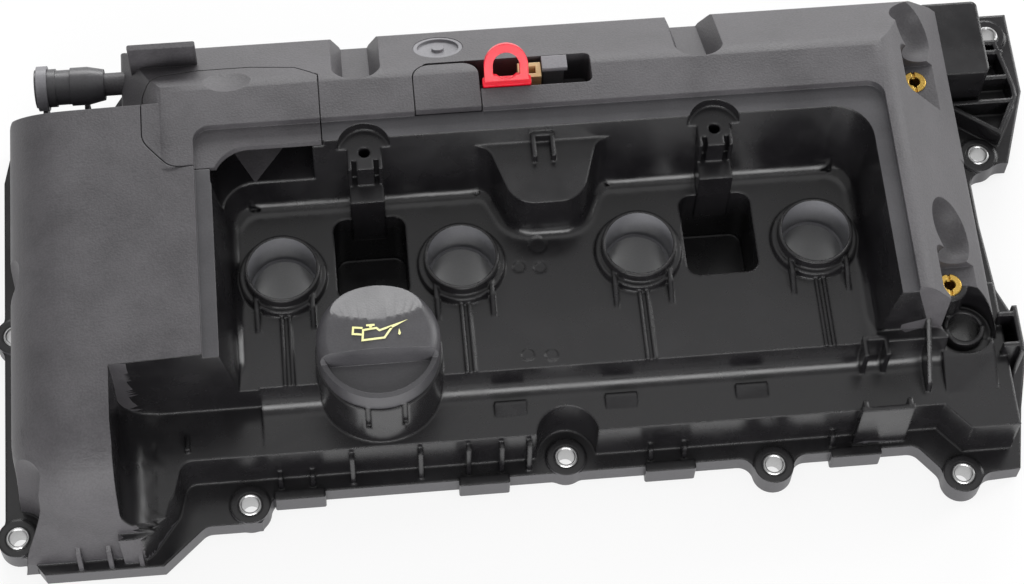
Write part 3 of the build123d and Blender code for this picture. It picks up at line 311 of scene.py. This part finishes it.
def smooth(mesh):
    """Shades curved skin smooth and keeps creases sharp.

    The normal of a face's corner is the mean of the normals of all faces round that vertex that
    turn less than the crease from this face, each weighted by its area.
    """
    corners, faces = len(mesh.loops), len(mesh.polygons)
    vertex = np.empty(corners, np.int32)
    mesh.loops.foreach_get("vertex_index", vertex)
    sides, area, normal = np.empty(faces, np.int32), np.empty(faces), np.empty(faces * 3)
    mesh.polygons.foreach_get("loop_total", sides)
    mesh.polygons.foreach_get("area", area)
    mesh.polygons.foreach_get("normal", normal)
    normal = normal.reshape(-1, 3)
    face = np.repeat(np.arange(faces), sides)
    order = np.argsort(vertex, kind="stable")
    values, starts, counts = np.unique(vertex[order], return_index=True, return_counts=True)
    group = np.searchsorted(values, vertex)
    row = np.repeat(np.arange(corners), counts[group])
    first = np.cumsum(counts[group]) - counts[group]
    step = np.arange(len(row)) - np.repeat(first, counts[group])
    column = order[np.repeat(starts[group], counts[group]) + step]
    same_skin = (normal[face[row]] * normal[face[column]]).sum(axis=1) > math.cos(crease)
    weight = area[face[column]] * same_skin
    mixed = np.stack([np.bincount(row, weight * normal[face[column], k]) for k in range(3)], axis=1)
    mixed /= np.maximum(np.linalg.norm(mixed, axis=1, keepdims=True), 1e-12)
    mesh.shade_smooth()
    mesh.normals_split_custom_set(mixed.tolist())


def show(mesh, name, body, stands_for, finish):
    """Makes a mesh a piece that stands for CAD nodes and, where a body is given, rides on it."""
    piece = bpy.data.objects.new(name, mesh)
    bpy.context.scene.collection.objects.link(piece)
    for material in finish:
        mesh.materials.append(material)
    if body:
        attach(piece, body)
    if stands_for:
        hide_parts(*stands_for)
    return piece


body_of_node = {n: b for b, names in frame["record"]["behaviour"]["bodies"].items() for n in names}
slot_of_node = {s["node"]: s["material_slot"] for s in frame["record"]["subparts"]}

# %% [markdown]
# ## Rolled corner of the dome
# The front left corner of the dome is rolled like a ball, and its soft shading shows it. The CAD
# model has that corner mitred, so here its vertices move in. How far a point lies outside the
# dome is a distance field, made of the dome's roof, side wall and front wall.

# %% Describe the dome as a distance field
dome_top = [(-163.0, 98.0), (-220.0, 93.0), (-251.0, 88.0)]  # x, z along the roof
dome_wall_foot = (-256.0, 10.5)  # x, z
dome_front_top, dome_front_foot = (-113.0, 101.0), (-117.0, 5.5)  # y, z
side_roll, front_roll, ball_roll = 34.0, 46.0, 36.0
corner_x, corner_y, corner_low_z = -188.0, -60.0, 13.0


def in_dome_corner(p):
    """True for points in the box round the dome's front corner."""
    return (p[:, 0] < corner_x) & (p[:, 1] < corner_y) & (p[:, 2] > corner_low_z)


def line_distance(across, height, start, end):
    """Distance to the left of the line from start to end, in a section's plane, and its normal."""
    run = np.array(end) - np.array(start)
    normal = np.array([-run[1], run[0]]) / np.linalg.norm(run)
    return (across - start[0]) * normal[0] + (height - start[1]) * normal[1], normal


def rolled_corner(a, b, radius, cosine=0.0):
    """Distance outside a corner rolled to a radius.

    a and b are the distances outside its two sides, and cosine is that of the angle between their
    normals. Between the normals the distance is that from the roll's centre less the radius, and
    elsewhere it is the greater of the two.
    """
    along_a = (a + radius - cosine * (b + radius)) / (1 - cosine ** 2)
    along_b = (b + radius - cosine * (a + radius)) / (1 - cosine ** 2)
    from_centre = np.sqrt(along_a ** 2 + along_b ** 2 + 2 * cosine * along_a * along_b)
    return np.where((along_a > 0) & (along_b > 0), from_centre - radius, np.maximum(a, b))


def dome_distances(p):
    """Distance outside the dome as the CAD model has it, and with its corner rolled as a ball."""
    px, py, pz = p.T
    roof_near, _ = line_distance(px, pz, dome_top[1], dome_top[0])
    roof_far, roof_normal = line_distance(px, pz, dome_top[2], dome_top[1])
    wall, wall_normal = line_distance(px, pz, dome_wall_foot, dome_top[2])
    roof = np.maximum(np.maximum(roof_near, roof_far), pz - dome_top[0][1])
    side = rolled_corner(roof, wall, side_roll, float(roof_normal @ wall_normal))
    front, front_normal = line_distance(py, pz, dome_front_foot, dome_front_top)
    front_edge = rolled_corner(front, pz - dome_front_top[1], front_roll, float(front_normal[1]))
    sharp = np.maximum(side, front_edge)
    return sharp, rolled_corner(side, front, ball_roll)


print("ball roll of", ball_roll, "mm at the dome's corner")

# %% [markdown]
# Each vertex keeps the depth that it had below the mitred skin, now below the rolled one, so the
# wall keeps its thickness. The way there goes along the slope of the field, and it fades out
# towards the flange, which must stay flat.

# %% Define the move of the dome's corner
slope_steps, probe, least_slope = 4, 0.01, 0.2
dome_fade_z, dome_fade_height = 14.0, 40.0


def roll_dome(mesh):
    """Moves each vertex of the dome's front corner in to the rolled form, at its own depth.

    Four steps along the slope of the distance field carry a point from the depth it has in the
    CAD model to the same depth in the rolled form. The move fades out down to the flange.
    """
    places = vertex_places(mesh)
    chosen = np.nonzero(in_dome_corner(places))[0]
    start = places[chosen]
    goal = dome_distances(start)[0]
    point = start.copy()
    for _ in range(slope_steps):
        here = dome_distances(point)[1]
        slope = np.stack([(dome_distances(point + step)[1] - here) / probe
                          for step in np.eye(3) * probe], axis=1)
        steepness = np.maximum((slope ** 2).sum(axis=1), least_slope)
        point -= ((here - goal) / steepness)[:, None] * slope
    rise = np.clip((start[:, 2] - dome_fade_z) / dome_fade_height, 0, 1)
    fade = (rise ** 2 * (3 - 2 * rise))[:, None]
    places[chosen] = start + (point - start) * fade
    mesh.vertices.foreach_set("co", (places * mm).ravel())
    return len(chosen)


print("the roll fades in over", dome_fade_height, "mm above the flange")

# %% [markdown]
# ## Rolled foot of the well
# Where the walls of the well stand on the deck the tool is rounded, and that hollow roll is what
# shines as a white line in the photograph. The foot line is drawn from straight runs and arcs,
# the mesh is refined along it, and the vertices of floor and wall move on to a quarter circle.

# %% Draw the foot line of the well
foot_line = [(-149, -54, 0), (-149, 38, 14), (-26, 38, 9), (-16, 15, 14),
             (16, 15, 14), (26, 38, 9), (149, 38, 14), (149, -54, 0)]  # x, y, corner radius
arc_step = math.radians(9)


def rounded_line(stops):
    """Line through the stops with each corner rounded by its radius, as an array of points.

    A corner's arc is swept from its first spoke to its last: each spoke between them is the sum
    of these two, weighted by the sines of the angles that are left and done.
    """
    line = [np.array(stops[0][:2], float)]
    for before, stop, after in zip(stops, stops[1:], stops[2:]):
        spot = np.array(stop[:2], float)
        back, ahead = np.array(before[:2]) - spot, np.array(after[:2]) - spot
        back, ahead = back / np.linalg.norm(back), ahead / np.linalg.norm(ahead)
        half = math.acos(float(back @ ahead)) / 2
        middle = (back + ahead) / np.linalg.norm(back + ahead)
        centre = spot + middle * stop[2] / math.sin(half)
        first = spot + back * stop[2] / math.tan(half) - centre
        last = spot + ahead * stop[2] / math.tan(half) - centre
        swept = math.pi - 2 * half
        share = np.linspace(0, 1, max(2, round(swept / arc_step)) + 1)[:, None]
        spokes = np.sin((1 - share) * swept) * first + np.sin(share * swept) * last
        line += list(centre + spokes / math.sin(swept))
    line.append(np.array(stops[-1][:2], float))
    return np.array(line)


def nearest_on_line(p, line):
    """Nearest point of a line to each point, and the side's normal that points to the right."""
    start, run = line[:-1], np.diff(line, axis=0)
    share = ((p[:, None] - start) * run).sum(axis=2) / (run ** 2).sum(axis=1)
    spots = start + np.clip(share, 0, 1)[:, :, None] * run
    gap = np.linalg.norm(p[:, None] - spots, axis=2)
    best = gap.argmin(axis=1)
    normal = np.stack([run[:, 1], -run[:, 0]], axis=1) / np.linalg.norm(run, axis=1)[:, None]
    return spots[np.arange(len(p)), best], normal[best]


foot_points = rounded_line(foot_line)
print("foot line:", len(foot_points), "points")

# %% [markdown]
# The back wall stands a little behind its own slope for its lowest few millimetres. That step is
# closed first, so that floor and wall meet in one plain corner, and then the corner is rolled.

# %% Define the roll of the foot
deck_z, foot_roll = 56.0, 5.0
foot_middle_z, foot_half_height, foot_margin = 58.5, 4.0, 1.0
foot_half_x, foot_front_y, foot_back_y = 157.0, -56.0, 42.0
back_wall_y, back_lean = 38.0, 0.342
step_from_x, step_to_x, step_depth, step_height = 29.9, 140.1, 2.1, 6.0
flat_slack, wall_slack = 0.05, 0.15
widest_lean, lean_slack = 0.5, 0.3
foot_fade_y, foot_fade_run = -55.0, 12.0


def near_foot(p):
    """True for points close to the foot of the well's walls."""
    low = np.abs(p[:, 2] - foot_middle_z) < foot_half_height
    low &= (np.abs(p[:, 0]) < foot_half_x) & (p[:, 1] > foot_front_y) & (p[:, 1] < foot_back_y)
    near = np.zeros(len(p), bool)
    spot, _ = nearest_on_line(p[low, :2], foot_points)
    from_line = np.linalg.norm(spot - p[low, :2], axis=1)
    near[np.nonzero(low)[0]] = from_line < foot_roll + foot_margin
    return near


def close_step(mesh):
    """Draws the back wall's low step forward on to the plane of the sloping wall above it."""
    places = vertex_places(mesh)
    px, py, pz = np.abs(places[:, 0]), places[:, 1], places[:, 2]
    wall_y = back_wall_y + back_lean * (pz - deck_z)
    low = (px > step_from_x) & (px < step_to_x)
    low &= (pz > deck_z - flat_slack) & (pz < deck_z + step_height)
    low &= (py > wall_y) & (py < back_wall_y + step_depth)
    places[low, 1] = wall_y[low]
    mesh.vertices.foreach_set("co", (places * mm).ravel())
    return int(low.sum())


def roll_foot(mesh):
    """Moves floor and wall on to a quarter circle that touches both.

    A floor point at a share of the roll's radius from the wall takes the angle 45 degrees less
    that share of it, and a wall point takes 45 degrees plus its share of the height.
    """
    places = vertex_places(mesh)
    chosen = np.nonzero(near_foot(places))[0]
    p = places[chosen]
    spot, normal = nearest_on_line(p[:, :2], foot_points)
    inward = ((p[:, :2] - spot) * normal).sum(axis=1)
    height = p[:, 2] - deck_z
    floor_point = (np.abs(height) < flat_slack) & (inward > -flat_slack) & (inward < foot_roll)
    wall_point = (height >= flat_slack) & (height < foot_roll)
    wall_point &= (inward < wall_slack) & (inward > -widest_lean * height - lean_slack)
    share = np.where(floor_point, -inward, height) / foot_roll
    angle = (1 + share) * math.pi / 4
    rise = foot_roll * (1 - np.cos(angle))
    lean = np.where(wall_point, -inward * rise / np.maximum(height, flat_slack), 0)
    across = foot_roll * (1 - np.sin(angle)) - lean
    fade = np.clip((p[:, 1] - foot_fade_y) / foot_fade_run, 0, 1)[:, None]
    rolled = np.column_stack([spot + normal * across[:, None], deck_z + rise])
    moved = floor_point | wall_point
    places[chosen[moved]] += ((rolled - p) * fade)[moved]
    mesh.vertices.foreach_set("co", (places * mm).ravel())
    return int(moved.sum())


print("foot roll of", foot_roll, "mm")

# %% [markdown]
# ## Hollow wall of the notch
# The notch beside the dome has a polished wall that sweeps into its floor in one wide hollow, and
# that hollow mirrors the lamp at the side. The wall is drawn in towards the dome by the distance
# between the roll and the CAD model's flatter arc, and what lies behind the wall moves with it.

# %% Define the sweep of the notch
flat_arc_x, flat_arc_z = (-205.0, -201.5, -190.0), (93.0, 62.0, 38.0)
sweep_r = 19.0
notch_from_x, notch_to_x, notch_back_y = -216.0, -180.0, -52.0
notch_low_z, notch_high_z = 34.0, 94.0
whole_depth, fade_depth, fade_front, notch_fade_z = 5.0, 8.0, 6.0, 4.0


def in_notch(p):
    """True for points round the left wall of the notch."""
    inside = (p[:, 0] > notch_from_x) & (p[:, 0] < notch_to_x) & (p[:, 1] < notch_back_y)
    return inside & (p[:, 2] > notch_low_z) & (p[:, 2] < notch_high_z)


def sweep_notch(mesh):
    """Shifts the wall sideways, by the gap between a rolled foot and the flat arc at its height.

    The flat arc is taken as the parabola through its three points. The wall and what is close
    behind it take the whole shift, and it fades out further behind, in front and at the floor.
    """
    places = vertex_places(mesh)
    chosen = np.nonzero(in_notch(places))[0]
    p = places[chosen]
    flat = np.polyval(np.polyfit(flat_arc_z, flat_arc_x, 2), p[:, 2])
    drop = np.clip(flat_arc_z[2] + sweep_r - p[:, 2], 0, sweep_r)
    rolled = flat_arc_x[0] + sweep_r - np.sqrt(sweep_r ** 2 - drop ** 2)
    behind = flat - p[:, 0]
    share = np.where(behind > 0, 1 - (behind - whole_depth) / fade_depth, 1 + behind / fade_front)
    rise = np.clip((p[:, 2] - notch_low_z) / notch_fade_z, 0, 1)
    places[chosen, 0] += (rolled - flat) * np.clip(share, 0, 1) * rise
    mesh.vertices.foreach_set("co", (places * mm).ravel())
    return len(chosen)


print("notch sweep of", sweep_r, "mm")

# %% [markdown]
# ## Moving the vertices
# A roll needs short edges to bend smoothly, so the three places are refined first, each only as
# finely as its radius asks. After the moves, vertices that landed on one spot are merged.

# %% Refine the three places and move their vertices
dome_step, foot_step, notch_step = 6.0, 1.8, 4.5
smallest_edge = 0.01 * mm
refine(body_mesh, [(in_dome_corner, dome_step), (near_foot, foot_step), (in_notch, notch_step)])
print("dome corner rolled:", roll_dome(body_mesh), "vertices moved")
print("back step closed:", close_step(body_mesh), "vertices moved")
print("foot rolled:", roll_foot(body_mesh), "vertices moved")
print("notch swept:", sweep_notch(body_mesh), "vertices moved")
work = bmesh.new()
work.from_mesh(body_mesh)
bmesh.ops.remove_doubles(work, verts=work.verts, dist=weld_gap)
bmesh.ops.dissolve_degenerate(work, edges=work.edges, dist=smallest_edge)
work.to_mesh(body_mesh)
work.free()

# %% [markdown]
# ## Finish of the cover body
# The skin of the tool decides the finish: the outside of the hood, the dome and the shoulder is
# grained, everything inside the well and in the notch is polished, and the rim of the flange and
# the ledges are satin. Each face is given its finish by its place and by the way it looks, worked
# out for all faces at once.

# %% Sort the grained faces
count = len(body_mesh.polygons)
centre, facing = np.empty(count * 3), np.empty(count * 3)
body_mesh.polygons.foreach_get("center", centre)
body_mesh.polygons.foreach_get("normal", facing)
x, y, z = centre.reshape(-1, 3).T / mm
_, facing_back, facing_up = facing.reshape(-1, 3).T

well_edge_x, well_edge_y = 163.5, 60.5
dome_low_z, dome_front_x, notch_wall_x, notch_end_y = 55, -198, -206.5, -56
dome_least_up, dome_least_front = 0.45, 0.35
left_edge_x, left_low_z, hood_low_z, right_low_z, right_end_y = -163, 12, 60, 49, -52
sensor_x, sensor_y, sensor_room_r = 193, -46, 14.3

outside_well = (np.abs(x) > well_edge_x) | (y > well_edge_y)
dome_skin = (facing_up > dome_least_up) & (z > dome_low_z)
dome_skin |= (facing_back < -dome_least_front) & (x < dome_front_x)
notch = (x > notch_wall_x) & (y < notch_end_y) & ~dome_skin
left_skin = (x < left_edge_x) & (z > left_low_z) & ~notch
hood_skin = (y > well_edge_y) & (z > hood_low_z)
right_skin = (x > well_edge_x) & (z > right_low_z) & (y > right_end_y)
right_skin &= np.hypot(x - sensor_x, y - sensor_y) > sensor_room_r
grained = outside_well & (left_skin | hood_skin | right_skin)
print("grained:", int(grained.sum()), "of", count, "faces")

# %% [markdown]
# The bores of the plug tubes are painted a paler grey, a painted reflection of the white room seen
# inside them. Ledges and outer edges are satin, and all other faces are polished. A number on each
# face then picks one of the skin's four materials.

# %% Dress the cover body
ledge_z = 93.8
tube_x, tube_r, tube_top_z = np.array([-126, -42, 42, 126]), 16.8, 64
flange_top_z, edge_most_up = 12.5, 0.5

ledge = ~outside_well & (z > ledge_z)
from_tube = np.hypot(x[:, None] - tube_x, y[:, None]).min(axis=1)
# Faces inside the plug tubes' bores, which take the pale painted reflection
painted_bore_reflection = (from_tube < tube_r) & (z < tube_top_z)
outer_face = (z < flange_top_z) & (facing_up < edge_most_up)
grained_no, polished_no, satin_no, bore_reflection_no = range(4)
finish_of_face = np.select([grained, painted_bore_reflection, ledge | outer_face],
                           [grained_no, bore_reflection_no, satin_no], polished_no).astype(np.int32)
show(body_mesh, "cover_skin", "cover", ["cover_body"],
     [grained_nylon, polished_nylon, satin_nylon, bore_reflection_nylon])
body_mesh.polygons.foreach_set("material_index", finish_of_face)
smooth(body_mesh)
print("faces per finish:", np.bincount(finish_of_face))

# %% [markdown]
# ## Smaller moulded and metal pieces
# The sleeves, inserts, seals, lids and the parts under the hood are welded and smoothed in the
# same way, and each takes the material of its slot. The valve's spring stands on the cup and
# carries the diaphragm, so it rides on neither body and stays where it is.

# %% Dress the smaller pieces
finish_of_slot = {
    "cover_plastic": grained_nylon, "cap_plastic": satin_nylon, "inner_plastic": inner_nylon,
    "red_plastic": red_acetal, "beige_plastic": natural_nylon, "grey_plastic": grey_nylon,
    "seal_rubber": seal_rubber, "brass": turned_brass, "zinc_steel": zinc_plate,
    "spring_steel": spring_steel,
}
for name in cad_nodes:
    if name == "cover_body":
        continue
    body = None if name == "valve_spring" else body_of_node[name]
    piece = show(welded_copy(name), name + "_dressed", body, [name],
                 [finish_of_slot[slot_of_node[name]]])
    smooth(piece.data)
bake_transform(bpy.data.objects["valve_spring_dressed"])
print(len(cad_nodes) - 1, "smaller pieces dressed")

# %% [markdown]
# ## Symbol on the filler cap
# The cap's bar carries the usual oil can in yellow paint. It is a paint film 0.1 mm thick: the
# can with its spout in outline, its lid, its handle as an open loop, and one drop.

# %% Define the paint film
cap_x, cap_y, bar_z = -84.0, -50.5, 92.5
paint_t, stroke = 0.1, 0.95


def mitred_sides(line, width, closed):
    """Both sides of a line drawn with a width, each corner mitred."""
    points = np.array(line)
    run = np.diff(points, axis=0, append=points[:1] if closed else points[-1:] * 2 - points[-2:-1])
    run /= np.linalg.norm(run, axis=1)[:, None]
    before = np.roll(run, 1, axis=0)
    if not closed:
        before[0] = run[0]
    ahead, behind = (np.stack([-r[:, 1], r[:, 0]], axis=1) for r in (run, before))
    side = (ahead + behind) / (1 + (ahead * behind).sum(axis=1))[:, None] * width / 2
    return points + side, points - side


def film(left, right, closed):
    """Vertices and faces of a film between two sides, in mm.

    The lower layer lies on the bar and the upper one a film's thickness above it. Each stretch
    has its top face, and an edge face on either side that goes down to the bar.
    """
    number = len(left)
    outline = np.vstack([left, right]) + (cap_x, cap_y)
    layers = [np.column_stack([outline, np.full(2 * number, height)])
              for height in (bar_z, bar_z + paint_t)]
    i = np.arange(number if closed else number - 1)
    j = (i + 1) % number
    high = 2 * number
    top = np.column_stack([high + i, high + number + i, high + number + j, high + j])
    left_edge = np.column_stack([j, i, high + i, high + j])
    right_edge = np.column_stack([number + i, number + j, high + number + j, high + number + i])
    return np.vstack(layers), np.vstack([top, left_edge, right_edge])


print("paint film", paint_t, "mm thick, strokes", stroke, "mm wide")

# %% [markdown]
# The can and its handle are lines with a width. The lid, its stem and the drop are small plates,
# given by four corners each. The symbol rides on the cap, so it turns with it.

# %% Paint the oil can
can = [(-6.5, 2.2), (-7.1, -2.9), (2.9, -2.3), (6.5, 2.7), (9.0, 4.0), (0.8, 1.5), (-0.5, 2.8)]
handle = [(-6.7, 3.2), (-10.9, 3.8), (-11.3, 0.6), (-7.3, 0.0)]
lid = [(-5.0, 3.9), (-1.2, 3.9), (-1.2, 4.9), (-5.0, 4.9)]
stem = [(-3.7, 2.8), (-2.4, 2.8), (-2.4, 3.9), (-3.7, 3.9)]
drop = [(9.7, 1.9), (9.1, -0.9), (9.8, -1.6), (10.4, -0.7)]

# Pad-printed paint: pale yellow, half matte, with sharp edges
yellow_paint = nylon("paint_yellow", "#eeea9a", "#f8f6b8", 0.45, 0.55, 0.05, 0.05 * mm)
films = [film(*mitred_sides(can, stroke, True), True),
         film(*mitred_sides(handle, stroke, False), False)]
films += [film([a, d], [b, c], False) for a, b, c, d in (lid, stem, drop)]
vertices, faces = [], []
for film_vertices, film_faces in films:
    faces += (film_faces + len(vertices)).tolist()
    vertices += (film_vertices * mm).tolist()
symbol_mesh = bpy.data.meshes.new("oil_can_symbol")
symbol_mesh.from_pydata(vertices, [], faces)
show(symbol_mesh, "oil_can_symbol", body_of_node["oil_filler_cap"], [], [yellow_paint])
print("oil can painted:", len(faces), "faces")

# %% [markdown]
# ## Studio floor
# The cover lies on a white sweep. What the camera, a mirror or a lens sees of the sweep is mostly
# plain white light, and what lights the cover is its matte paint, so shadows stay soft and pale.

# %% Build the floor
floor_size, floor_z = 6.0, -0.2 * mm
glow_share = 0.8
corners = np.array([(-1, -1), (1, -1), (1, 1), (-1, 1)]) * floor_size / 2
floor_mesh = bpy.data.meshes.new("floor")
floor_mesh.from_pydata(np.column_stack([corners, np.full(4, floor_z)]).tolist(), [], [(0, 1, 2, 3)])
floor = bpy.data.objects.new("floor", floor_mesh)
bpy.context.scene.collection.objects.link(floor)

# Matte white studio paint
material, tree, output = start_material("floor_white")
path = node(tree, "LightPath")
seen = node(tree, "Math", {"operation": "MAXIMUM"},
            i0=path.outputs["Is Camera Ray"], i1=path.outputs["Is Glossy Ray"])
seen = node(tree, "Math", {"operation": "MAXIMUM"},
            i0=seen.outputs[0], i1=path.outputs["Is Transmission Ray"])
share = node(tree, "Math", {"operation": "MULTIPLY"}, i0=seen.outputs[0], i1=glow_share)
matte = node(tree, "BsdfDiffuse", Color=linear("#f4f4f4"))
white = node(tree, "Emission", Color=(1, 1, 1, 1), Strength=1.0)
mixed = node(tree, "MixShader", i0=share.outputs[0], i1=matte.outputs[0], i2=white.outputs[0])
tree.links.new(mixed.outputs[0], output.inputs[0])
floor_mesh.materials.append(material)
print("floor", floor_size, "m wide")

# %% [markdown]
# ## Room and lights
# The camera sees a white room, and the cover mirrors a dimmer one. Wide soft boxes stand low
# behind, to the right and in front, so hollow rolls and rims shine while the flat deck, which
# mirrors the dim room above, stays deep.

# %% Light the cover
room_level, backdrop_level = 0.42, 1.0
cover_middle = (0, 0, 0.05)

world = bpy.data.worlds.new("studio")
bpy.context.scene.world = world
world.use_nodes = True
tree = world.node_tree
tree.nodes.clear()
path = node(tree, "LightPath")
room = node(tree, "Background", Color=linear("#ffffff"), Strength=room_level)
backdrop = node(tree, "Background", Color=(1, 1, 1, 1), Strength=backdrop_level)
mixed = node(tree, "MixShader", i0=path.outputs["Is Camera Ray"],
             i1=room.outputs[0], i2=backdrop.outputs[0])
tree.links.new(mixed.outputs[0], tree.nodes.new("ShaderNodeOutputWorld").inputs[0])


def soft_box(name, place, size, power):
    """Adds a rectangular lamp, aimed at the cover's middle.

    A lamp shines along its own -Z, so Z is the way from the middle to the lamp. X is square to
    that and to the scene's Y, and the lamp's Y is square to both. Sizes are in metres and power
    is in watts.
    """
    data = bpy.data.lights.new(name, "AREA")
    data.shape = "RECTANGLE"
    data.size, data.size_y = size
    data.energy = power
    z_axis = np.array(place, float) - np.array(cover_middle, float)
    z_axis /= np.linalg.norm(z_axis)
    x_axis = np.cross([0, 1, 0], z_axis)
    x_axis /= np.linalg.norm(x_axis)
    matrix = np.eye(4)
    matrix[:3, 0], matrix[:3, 1], matrix[:3, 2] = x_axis, np.cross(z_axis, x_axis), z_axis
    matrix[:3, 3] = place
    lamp = bpy.data.objects.new(name, data)
    lamp.matrix_world = Matrix(matrix.tolist())
    bpy.context.scene.collection.objects.link(lamp)


soft_box("back", (0.1, 1.6, 0.75), (1.8, 0.7), 31)
soft_box("right", (1.45, 0.7, 0.62), (1.2, 0.6), 12)
soft_box("above", (0, 0.1, 1.6), (1.6, 1.4), 4)
soft_box("front", (-0.2, -1.6, 0.65), (2.4, 0.6), 30)
bpy.context.scene.view_settings.view_transform = "Standard"
print("soft boxes:", ", ".join(light.name for light in bpy.data.lights))
